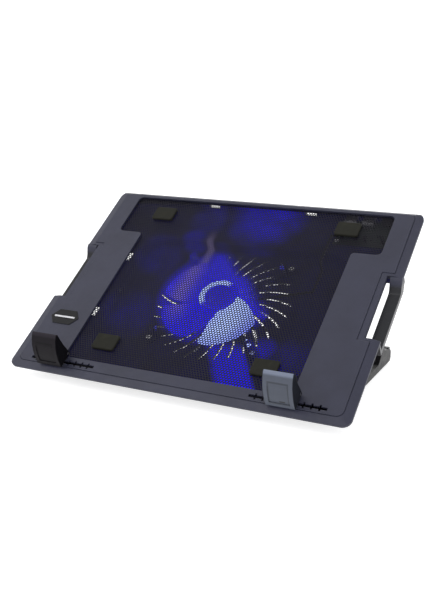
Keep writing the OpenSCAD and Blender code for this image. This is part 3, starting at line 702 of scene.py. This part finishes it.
class PAD_OT_fan(bpy.types.Operator):
    """Make the fan's hub and swept blades"""

    bl_idname = "pad.fan"
    bl_label = "Fan"

    def execute(self, context):
        count = context.scene.pad_fan.blades
        for k in range(count):
            self.blade(k, count)
        self.hub()
        surface_of("fan_frame", FINISH["frame"], "deck", join=False)
        finish_node("fan_bearing", "brass")
        finish_node("fan_stator", "winding")
        finish_node("fan_shaft", "steel")
        return {"FINISHED"}

    @staticmethod
    def light_on(x, y, bright):
        """Painted glow over the blades: full where x + y is small, little beyond; a streak of painted
        reflection near x = -45 mm.
        """
        r = np.hypot(x, y)
        left = smooth_step(-(x + y), -62, -30)
        lit = np.clip(np.maximum(left, smooth_step(-r, -50, -24)), 0.03, 1.0)
        streak = np.exp(-(((x + 47 - 0.10 * np.clip(10 - y, 0, 60)) / 10.5) ** 2))
        streak = streak * smooth_step(-np.abs(y - 12), -62, -18)
        clear = 0.05 + 0.88 * smooth_step(lit, 0.2, 0.9)
        # The blade in front of the lamp takes a pale pool of painted light.
        if bright:
            lit = 2.0 - 0.35 * smooth_step(r, 44, 66) - 0.25 * smooth_step(x, 22, 48)
            clear = np.full_like(clear, 0.97)
        return lit, streak * 0.8 * (lit <= 1.0), clear

    def dress(self, mesh, flat, bright=False):
        values = self.light_on(flat[:, 0], flat[:, 1], bright)
        for name, value in zip(("lit", "streak", "clear"), values):
            mesh.attributes.new(name, "FLOAT", "POINT").data.foreach_set("value", value.astype(np.float32))

    def blade(self, k, count):
        """Blade: radius 16.5 to 65.7 mm, its mid-line turning 20 degrees back from root to tip, its
        half width falling from 48 degrees at the root to 31 at the tip, and a rise across it with a
        shallow camber."""
        s = np.linspace(0, 1, 22)[:, None]
        t = np.linspace(-1, 1, 26)[None, :]
        r = BLADE_ROOT + BLADE_REACH * s + 0 * t
        half = BLADE_TIP_HALF + BLADE_ROOT_EXTRA * (1 - s) ** 1.4
        angle = np.radians(FIRST_BLADE + 360 / count * k + BLADE_SWEEP * (1 - s) ** 1.2 + half * t)
        r = r - 3.6 * s**6 * t**4
        z = FAN_MID + 0.6 + (3.4 - 0.6 * s) * t - 0.8 * (1 - t**2)
        x, y = r * np.cos(angle), r * np.sin(angle)
        flat = np.stack([x, y, z], -1).reshape(-1, 3)
        name = f"fan_blade_{k + 1}"
        mesh = mesh_of(name, deck_to_world(flat + [0, FAN_IN_DECK.y / MM, 0]), [grid_faces(22, 26)])
        self.dress(mesh, flat, bright=k == 0)
        piece = add_piece(name, mesh, FINISH["fan"], "fan")
        solid = piece.modifiers.new("Thickness", "SOLIDIFY")
        solid.thickness = 1.1 * MM
        solid.offset = 0
        round_edges(piece, 0.35 * MM, 2)

    def hub(self):
        """Hub: a domed cup turned about the fan's axis, with a narrow ring round its shoulder; it glows by
        painted emission, with a painted highlight on the ring's upper-left half.
        """
        profile = [
            (0.01, -8.3), (6, -8.35), (11, -8.5), (13.6, -8.9), (14.6, -9.6), (15.0, -10.2), (15.6, -9.2),
            (18.0, -8.4), (20.0, -8.6), (21.4, -9.6), (21.6, -10.8), (20.4, -12.0), (18.5, -12.8),
            (18.4, -18.4), (16.8, -18.4), (16.7, -12.6), (12, -11.0), (0.01, -10.8),
        ]
        flat = turned(profile, 96)
        mesh = mesh_of("fan_hub", deck_to_world(flat + [0, FAN_IN_DECK.y / MM, 0]),
                       [grid_faces(96, len(profile), loop_rows=True)])
        x, y = flat[:, 0], flat[:, 1]
        r, angle = np.hypot(x, y), np.degrees(np.arctan2(y, x))
        # Painted highlight on the upper-left half of the ring, a fainter painted glow on the rest of it.
        painted_highlight = smooth_step(np.cos(np.radians(angle - 145)), -0.05, 0.35)
        ring = smooth_step(r, 14.9, 15.5) * smooth_step(flat[:, 2], -13.0, -12.0)
        lit = 0.72 + 1.28 * ring * painted_highlight + 0.2 * ring * (1 - painted_highlight)
        for name, value in (("lit", lit), ("streak", 0 * lit), ("clear", 0 * lit + 0.98)):
            mesh.attributes.new(name, "FLOAT", "POINT").data.foreach_set("value", value.astype(np.float32))
        outward(mesh)
        add_piece("fan_hub", mesh, FINISH["fan"], "fan", ("fan_rotor",))


class PAD_OT_lamps(bpy.types.Operator):
    """Light the lamps on the fan frame's posts, and add soft light inside the housing"""

    bl_idname = "pad.lamps"
    bl_label = "Lamps"

    def execute(self, context):
        finish_node("leds", "lamp")
        for k, (x, y, power) in enumerate(LAMP_SPOTS):
            data = bpy.data.lights.new(f"lamp_light_{k + 1}", "POINT")
            data.energy = power
            data.color = (0.10, 0.08, 1.0)
            data.shadow_soft_size = 0.01
            light = bpy.data.objects.new(data.name, data)
            context.scene.collection.objects.link(light)
            light.location = Vector(deck_to_world([x, y, LAMP_SPOT_Z]))
            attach(light, "deck")
        return {"FINISHED"}


class PAD_OT_stoppers(bpy.types.Operator):
    """Finish the sliding stoppers and their carriages"""

    bl_idname = "pad.stoppers"
    bl_label = "Stoppers"

    def execute(self, context):
        for side in ("left", "right"):
            flap, slider = f"{side}_flap", f"{side}_slider"
            rounded_node(f"{side}_stopper", FINISH[f"{side}_stopper"], flap, 0.7 * MM, 3)
            rounded_node(f"{side}_stopper_pad", FINISH["rubber"], flap, 0.3 * MM)
            rounded_node(f"{side}_carriage", FINISH["black"], slider, 0.3 * MM)
            finish_node(f"{side}_stopper_pin", "steel")
        return {"FINISHED"}


class PAD_OT_trim(bpy.types.Operator):
    """Finish the rubber pads, the badge and the feet"""

    bl_idname = "pad.trim"
    bl_label = "Pads and badge"

    def execute(self, context):
        rounded_node("grip_pads", FINISH["rubber"], "deck", 1.1 * MM, 4)
        rounded_node("badge", FINISH["black"], "deck", 0.3 * MM)
        rounded_node("badge_bar", FINISH["steel"], "deck", 0.12 * MM)
        rounded_node("base_feet", FINISH["rubber"], "stand", 0.5 * MM)
        rounded_node("strut_sleeves", FINISH["rubber"], "strut", 0.25 * MM)
        return {"FINISHED"}


class PAD_OT_stand(bpy.types.Operator):
    """Finish the base frame, the strut and their pins"""

    bl_idname = "pad.stand"
    bl_label = "Stand"

    def execute(self, context):
        rounded_node("base_frame", FINISH["black"], "stand", 0.6 * MM, 3)
        rounded_node("strut", FINISH["black"], "strut", 0.5 * MM, 3)
        finish_node("hinge_pins", "steel")
        finish_node("strut_pins", "steel")
        return {"FINISHED"}


class PAD_OT_electronics(bpy.types.Operator):
    """Finish the board, sockets, dial, lead and screws, and make the board's small parts"""

    bl_idname = "pad.electronics"
    bl_label = "Electronics"

    def execute(self, context):
        finish_node("hub_board", "board")
        finish_node("usb_sockets", "steel")
        finish_node("usb_tongues", "tongue")
        finish_node("speed_pot", "black")
        rounded_node("speed_dial", FINISH["black"], "dial", 0.2 * MM)
        finish_node("fan_lead", "black")
        for node in ("case_screws", "fan_screws", "board_screws"):
            finish_node(node, "steel")
        self.small_parts()
        return {"FINISHED"}

    def small_parts(self):
        """Chips as blocks and capacitors as turned cans, in one piece standing on the board."""
        work = bmesh.new()
        for x, y, wide, deep, high in CHIPS:
            block = bmesh.ops.create_cube(work, size=1.0)["verts"]
            bmesh.ops.scale(work, vec=(wide, deep, high), verts=block)
            bmesh.ops.translate(work, vec=(x, y, BOARD_TOP + high / 2), verts=block)
        for x, y, radius, high in CANS:
            can = bmesh.ops.create_cone(
                work, cap_ends=True, segments=32, radius1=radius, radius2=radius, depth=high
            )
            bmesh.ops.translate(work, vec=(x, y, BOARD_TOP + high / 2), verts=can["verts"])
        mesh = bpy.data.meshes.new("board_parts")
        work.to_mesh(mesh)
        work.free()
        mesh.transform(DECK @ Matrix.Scale(MM, 4))
        outward(mesh)
        parts = add_piece("board_parts", mesh, FINISH["black"], "deck", smooth=False)
        round_edges(parts, 0.15 * MM)


class PAD_OT_stage(bpy.types.Operator):
    """Make the pale floor, the studio light and the camera"""

    bl_idname = "pad.stage"
    bl_label = "Stage"

    def execute(self, context):
        self.floor()
        self.lights(context.scene)
        self.camera(context.scene)
        return {"FINISHED"}

    def floor(self):
        """A round floor, flat for 2.5 m and then rising as 0.12 (r - 2.5)^2, on 64 spokes."""
        r = np.concatenate([[0.0], np.geomspace(0.1, 12.0, 30)])
        angle = np.linspace(0, 2 * math.pi, SPOKES, endpoint=False)[:, None]
        up = np.broadcast_to(RISE * np.clip(r - FLAT_RADIUS, 0, None) ** 2, (SPOKES, len(r)))
        points = np.stack([r * np.cos(angle), r * np.sin(angle), up], -1)
        faces = grid_faces(SPOKES, len(r), loop_rows=True)[:, ::-1]
        mesh = mesh_of("floor", points.reshape(-1, 3), [faces])
        floor = bpy.data.objects.new("floor", mesh)
        bpy.context.scene.collection.objects.link(floor)
        g = Graph("studio paper")
        fibre = g.noise(800.0, 3.0)
        g.set(
            Base_Color=g.blend(g.noise(3.0, 2.0), (0.46, 0.46, 0.465, 1), (0.49, 0.49, 0.495, 1)),
            Roughness=0.9, Normal=g.bump(fibre, 0.00002), Emission_Color=(1.0, 1.0, 1.0, 1.0),
        )
        g.shader.inputs["Emission Strength"].default_value = 0.74
        g.shader.inputs["Specular IOR Level"].default_value = 0.1
        mesh.materials.append(g.material)
        mesh.polygons.foreach_set("use_smooth", np.full(len(mesh.polygons), True))

    def lights(self, scene):
        world = bpy.data.worlds.new("studio")
        scene.world = world
        world.use_nodes = True
        world.node_tree.nodes["Background"].inputs["Color"].default_value = (1.0, 1.0, 1.0, 1.0)
        world.node_tree.nodes["Background"].inputs["Strength"].default_value = 1.0
        for name, place, aim, size, power in (
            ("key_light", (-1.0, -0.9, 1.7), (0, 0, 0.1), 1.4, 12),
            ("fill_light", (1.3, -1.5, 1.0), (0, 0, 0.1), 1.5, 4),
            ("back_light", (-0.5, 1.7, 0.9), (0, 0.05, 0.0), 1.4, 10),
        ):
            data = bpy.data.lights.new(name, "AREA")
            data.energy = power
            data.size = size
            light = bpy.data.objects.new(name, data)
            scene.collection.objects.link(light)
            light.location = place
            light.rotation_euler = (Vector(aim) - Vector(place)).to_track_quat("-Z", "Y").to_euler()
        scene.view_settings.view_transform = "Standard"

    def camera(self, scene):
        data = bpy.data.cameras.new("camera")
        camera = bpy.data.objects.new("camera", data)
        scene.collection.objects.link(camera)
        data.sensor_width = 36.0
        data.lens = LENS
        data.shift_x, data.shift_y = SHIFT
        corner = Vector(deck_to_world([-190.0, 0.0, 0.0]))
        right, up = Vector(CAMERA_RIGHT), Vector(CAMERA_UP)
        back = right.cross(up)
        camera.matrix_world = Matrix((right, up, back)).transposed().to_4x4()
        camera.location = corner + Vector(CAMERA_FROM_CORNER)
        data.clip_start, data.clip_end = 0.05, 30.0
        scene.camera = camera


class PAD_PT_panel(bpy.types.Panel):
    """The build steps in order, with their settings"""

    bl_idname = "PAD_PT_panel"
    bl_label = "Laptop cooling pad"
    bl_space_type = "VIEW_3D"
    bl_region_type = "UI"
    bl_category = "Cooling Pad"

    def draw(self, context):
        layout = self.layout
        for group in settings():
            box = layout.box()
            for name in group.bl_rna.properties.keys():
                if name not in {"rna_type", "name"}:
                    box.prop(group, name)
        for step in STEPS:
            layout.operator(step.bl_idname)


GROUPS = (CasingSettings, GrilleSettings, FanSettings)
STEPS = (
    PAD_OT_finishes, PAD_OT_casings, PAD_OT_grille, PAD_OT_fan, PAD_OT_lamps, PAD_OT_stoppers,
    PAD_OT_trim, PAD_OT_stand, PAD_OT_electronics, PAD_OT_stage,
)


def register():
    for item in (*GROUPS, *STEPS, PAD_PT_panel):
        bpy.utils.register_class(item)
    bpy.types.Scene.pad_casing = PointerProperty(type=CasingSettings)
    bpy.types.Scene.pad_grille = PointerProperty(type=GrilleSettings)
    bpy.types.Scene.pad_fan = PointerProperty(type=FanSettings)


def unregister():
    for name in ("pad_fan", "pad_grille", "pad_casing"):
        delattr(bpy.types.Scene, name)
    for item in reversed((*GROUPS, *STEPS, PAD_PT_panel)):
        bpy.utils.unregister_class(item)


def main():
    """Registers the classes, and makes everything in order."""
    register()
    for step in STEPS:
        group, name = step.bl_idname.split(".")
        getattr(getattr(bpy.ops, group), name)()


if __name__ == "__main__":
    main()
